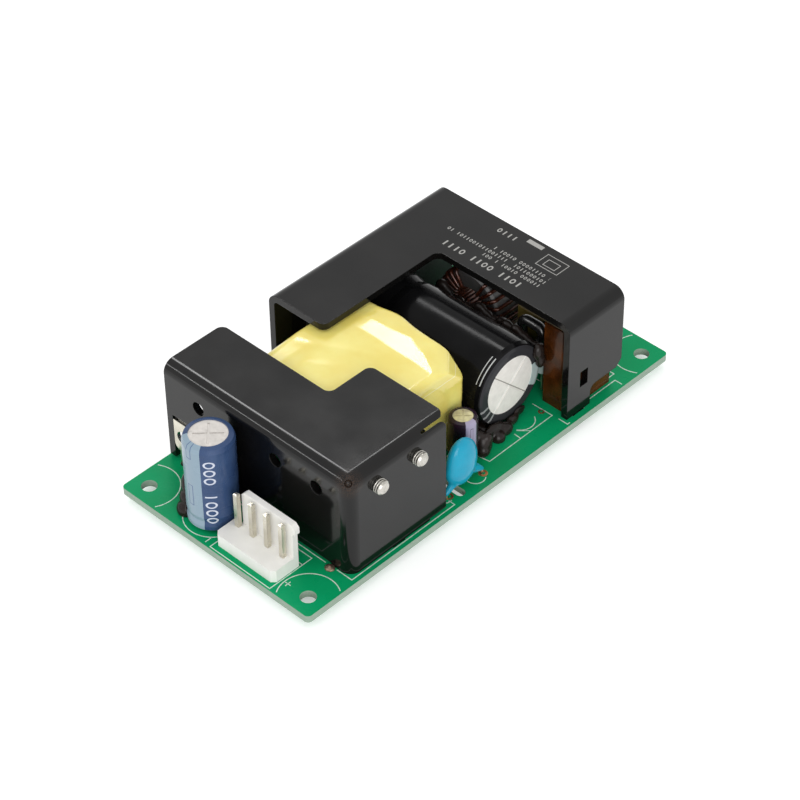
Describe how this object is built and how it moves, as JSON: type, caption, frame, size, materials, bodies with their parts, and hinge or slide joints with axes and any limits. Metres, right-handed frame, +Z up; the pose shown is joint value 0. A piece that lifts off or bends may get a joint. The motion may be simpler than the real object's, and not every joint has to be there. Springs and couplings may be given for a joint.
{
  "type": "open-frame power supply",
  "caption": "Open-frame AC-DC power supply on a circuit board, with folded sheet heatsink covers, a wrapped transformer and pin headers.",
  "frame": {"origin": "centre of the four mounting holes, on the underside of the circuit board", "axes": "+Y along the board from the output end to the input end, +X across the board to the side of the covers' screws, +Z up from the board"},
  "size_m": [0.0516, 0.1016, 0.0268],
  "materials": {
    "board_laminate": "green solder mask over glass laminate",
    "black_aluminium": "satin black coated sheet",
    "tinned_sheet": "tinned",
    "screw_steel": "nickel plated",
    "moulded_epoxy": "matt moulded",
    "tinned_wire": "tinned",
    "ferrite": "matt sintered",
    "bobbin_phenolic": "moulded phenolic",
    "copper_wire": "enamelled",
    "yellow_tape": "polyester tape",
    "can_aluminium": "satin",
    "bulk_capacitor_sleeve": "shrunk sleeve",
    "output_capacitor_sleeve": "shrunk sleeve",
    "inner_capacitor_sleeve": "shrunk sleeve",
    "small_capacitor_sleeve": "shrunk sleeve",
    "rubber_seal": "matt",
    "blue_epoxy": "dipped coating",
    "line_capacitor_box": "moulded box",
    "fuse_ceramic": "satin",
    "black_heat_shrink": "shrunk tube",
    "amber_film": "polyimide film",
    "white_nylon": "moulded",
    "black_adhesive": "glossy",
    "chip_ceramic": "matt",
    "solder": "bright"
  },
  "bodies": {
    "root": {"adhesive": "black_adhesive", "bridge_rectifier_body": "moulded_epoxy", "bridge_rectifier_leads": "tinned_wire", "bulk_capacitor_can": "can_aluminium", "bulk_capacitor_leads": "tinned_wire", "bulk_capacitor_seal": "rubber_seal", "bulk_capacitor_sleeve": "bulk_capacitor_sleeve", "chip_parts": "chip_ceramic", "choke_base": "bobbin_phenolic", "choke_core": "ferrite", "choke_winding_left": "copper_wire", "choke_winding_right": "copper_wire", "circuit_board": "board_laminate", "controller_chip_body": "moulded_epoxy", "controller_chip_leads": "tinned_wire", "cover_screws": "screw_steel", "cover_washers": "screw_steel", "disc_capacitor_body": "blue_epoxy", "disc_capacitor_leads": "tinned_wire", "front_cover": "black_aluminium", "front_cover_solder_tab": "tinned_sheet", "fuse_body": "fuse_ceramic", "fuse_leads": "tinned_wire", "fuse_sleeve": "black_heat_shrink", "inner_capacitor_can": "can_aluminium", "inner_capacitor_leads": "tinned_wire", "inner_capacitor_seal": "rubber_seal", "inner_capacitor_sleeve": "inner_capacitor_sleeve", "input_header_housing": "white_nylon", "input_header_pins": "tinned_wire", "insulation_sheet": "amber_film", "line_capacitor_body": "line_capacitor_box", "line_capacitor_leads": "tinned_wire", "optocoupler_body": "moulded_epoxy", "optocoupler_leads": "tinned_wire", "output_capacitor_can": "can_aluminium", "output_capacitor_leads": "tinned_wire", "output_capacitor_seal": "rubber_seal", "output_capacitor_sleeve": "output_capacitor_sleeve", "output_header_housing": "white_nylon", "output_header_pins": "tinned_wire", "output_rectifier_1_body": "moulded_epoxy", "output_rectifier_1_leadframe": "tinned_wire", "output_rectifier_2_body": "moulded_epoxy", "output_rectifier_2_leadframe": "tinned_wire", "primary_transistor_body": "moulded_epoxy", "primary_transistor_leads": "tinned_wire", "rear_cover": "black_aluminium", "small_capacitor_can": "can_aluminium", "small_capacitor_leads": "tinned_wire", "small_capacitor_seal": "rubber_seal", "small_capacitor_sleeve": "small_capacitor_sleeve", "solder_joints": "solder", "transformer_bobbin": "bobbin_phenolic", "transformer_core_bottom": "ferrite", "transformer_core_top": "ferrite", "transformer_pins": "tinned_wire", "transformer_tape": "yellow_tape", "transformer_winding": "copper_wire"}
  },
  "joints": []
}
